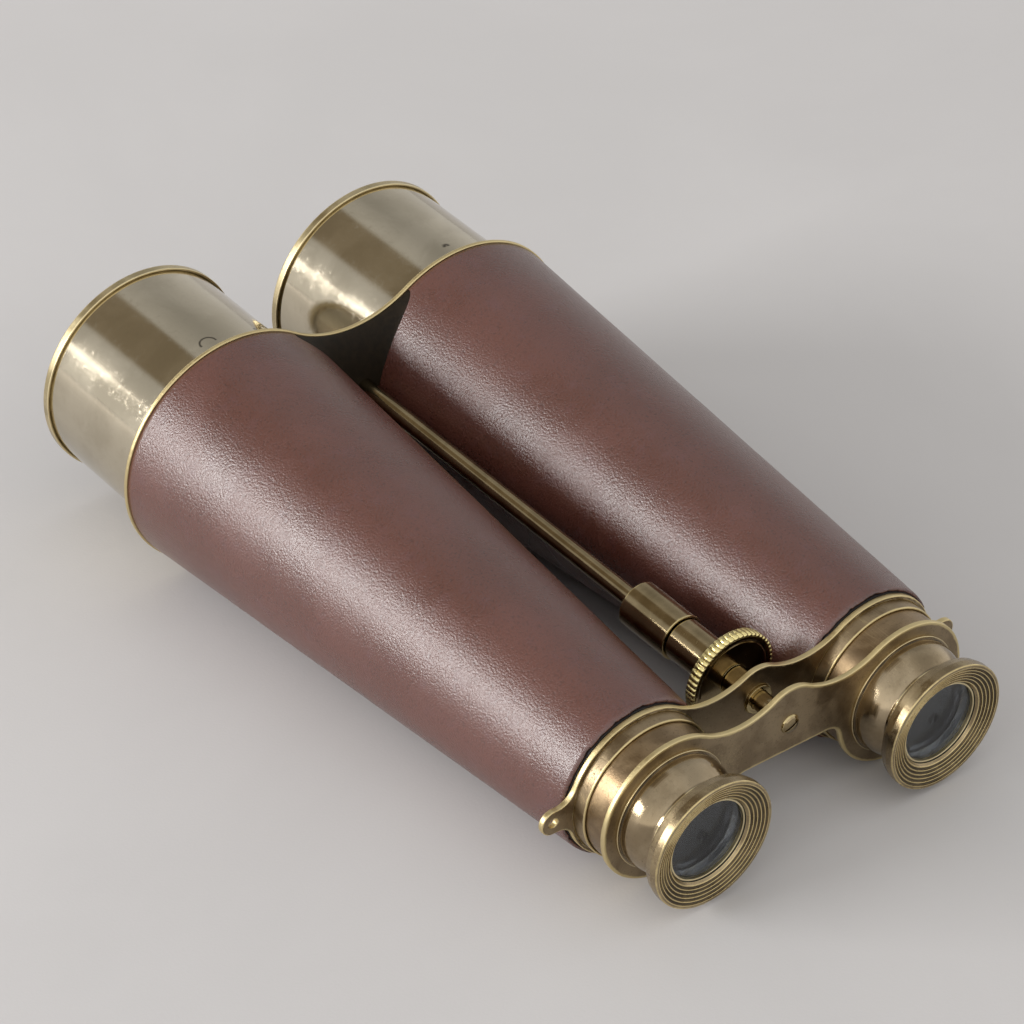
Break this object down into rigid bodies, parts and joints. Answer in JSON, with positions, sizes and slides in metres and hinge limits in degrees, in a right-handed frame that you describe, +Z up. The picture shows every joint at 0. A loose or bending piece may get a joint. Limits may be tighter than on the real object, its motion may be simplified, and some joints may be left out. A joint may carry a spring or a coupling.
{
  "type": "binoculars",
  "caption": "Large fixed-bridge field glass with tapered leather-covered barrels, sliding sunshades, a centre focus wheel and shaped bridge plates, lying flat.",
  "frame": {"origin": "middle of the footprint, on the surface that the glass lies on", "axes": "+Y along the barrels towards the objectives, +X to the right of a person looking through it, +Z up; the optical axes rise 4.4 degrees towards the objectives because the tapered barrels lie on their lower edges"},
  "size_m": [0.1192, 0.2008, 0.0571],
  "materials": {
    "leather": "reddish brown leather, fine grain, satin",
    "barrel_brass": "plain brass, hidden under the leather",
    "bridge_bronze": "aged bronze patina with bright worn edges",
    "draw_tube_bronze": "coppery aged bronze",
    "eyepiece_bronze": "aged bronze, polished by handling",
    "eyecup_brass": "turned brass with dark lines in the grooves",
    "rim_brass": "pale satin brass",
    "shade_brass": "pale polished brass",
    "focus_brass": "dark olive brass, polished",
    "wheel_brass": "knurled brass, bright on the teeth",
    "eye_glass": "small lens, dark because of the barrel behind it",
    "lens_glass": "clear coated lens",
    "black_inside": "matt black lacquer against stray light",
    "felt": "black felt"
  },
  "bodies": {
    "barrels": {"left_barrel_tube": "barrel_brass", "right_barrel_tube": "barrel_brass", "left_leather_cover": "leather", "right_leather_cover": "leather", "left_draw_collar": "bridge_bronze", "right_draw_collar": "bridge_bronze", "left_objective_cell": "black_inside", "right_objective_cell": "black_inside", "left_cell_support_ring": "black_inside", "right_cell_support_ring": "black_inside", "left_crown_lens": "lens_glass", "right_crown_lens": "lens_glass", "left_flint_lens": "lens_glass", "right_flint_lens": "lens_glass", "left_objective_lens_ring": "black_inside", "right_objective_lens_ring": "black_inside", "left_shade_felt": "felt", "right_shade_felt": "felt", "left_light_baffle": "black_inside", "right_light_baffle": "black_inside", "saddle_block": "barrel_brass", "saddle_leather": "leather", "objective_end_plate": "bridge_bronze", "inner_bridge_plate": "bridge_bronze", "spindle_bush": "focus_brass", "rod_sleeve": "focus_brass", "focus_rod": "focus_brass"},
    "eyepiece_carriage": {"left_draw_tube": "draw_tube_bronze", "left_eyepiece_housing": "eyepiece_bronze", "left_eyecup": "eyecup_brass", "left_eye_lens": "eye_glass", "left_eye_lens_ring": "rim_brass", "right_draw_tube": "draw_tube_bronze", "right_eyepiece_housing": "eyepiece_bronze", "right_eyecup": "eyecup_brass", "right_eye_lens": "eye_glass", "right_eye_lens_ring": "rim_brass", "outer_bridge_plate": "bridge_bronze", "focus_spindle": "focus_brass", "spindle_screw": "focus_brass"},
    "focus_wheel": {"focus_wheel": "wheel_brass", "wheel_hub": "focus_brass"},
    "left_sunshade": {"left_shade_tube": "shade_brass", "left_shade_rim": "rim_brass"},
    "right_sunshade": {"right_shade_tube": "shade_brass", "right_shade_rim": "rim_brass"}
  },
  "joints": [
    {"name": "focus_turn", "type": "hinge", "parent": "barrels", "child": "focus_wheel", "pos_m": [0, -0.06786, 0.02513], "axis": [0, 0.9971, 0.0767], "range_deg": [-541, 961]},
    {"name": "focus_slide", "type": "slide", "parent": "barrels", "child": "eyepiece_carriage", "axis": [0, 0.9971, 0.0767], "range_m": [-0.008, 0.0045]},
    {"name": "left_shade_slide", "type": "slide", "parent": "barrels", "child": "left_sunshade", "axis": [0, 0.9971, 0.0767], "range_m": [-0.023, 0]},
    {"name": "right_shade_slide", "type": "slide", "parent": "barrels", "child": "right_sunshade", "axis": [0, 0.9971, 0.0767], "range_m": [-0.023, 0]}
  ],
  "couplings": [
    {"joint": "focus_turn", "follows": "focus_slide", "rad_per_m": -2094.4}
  ]
}
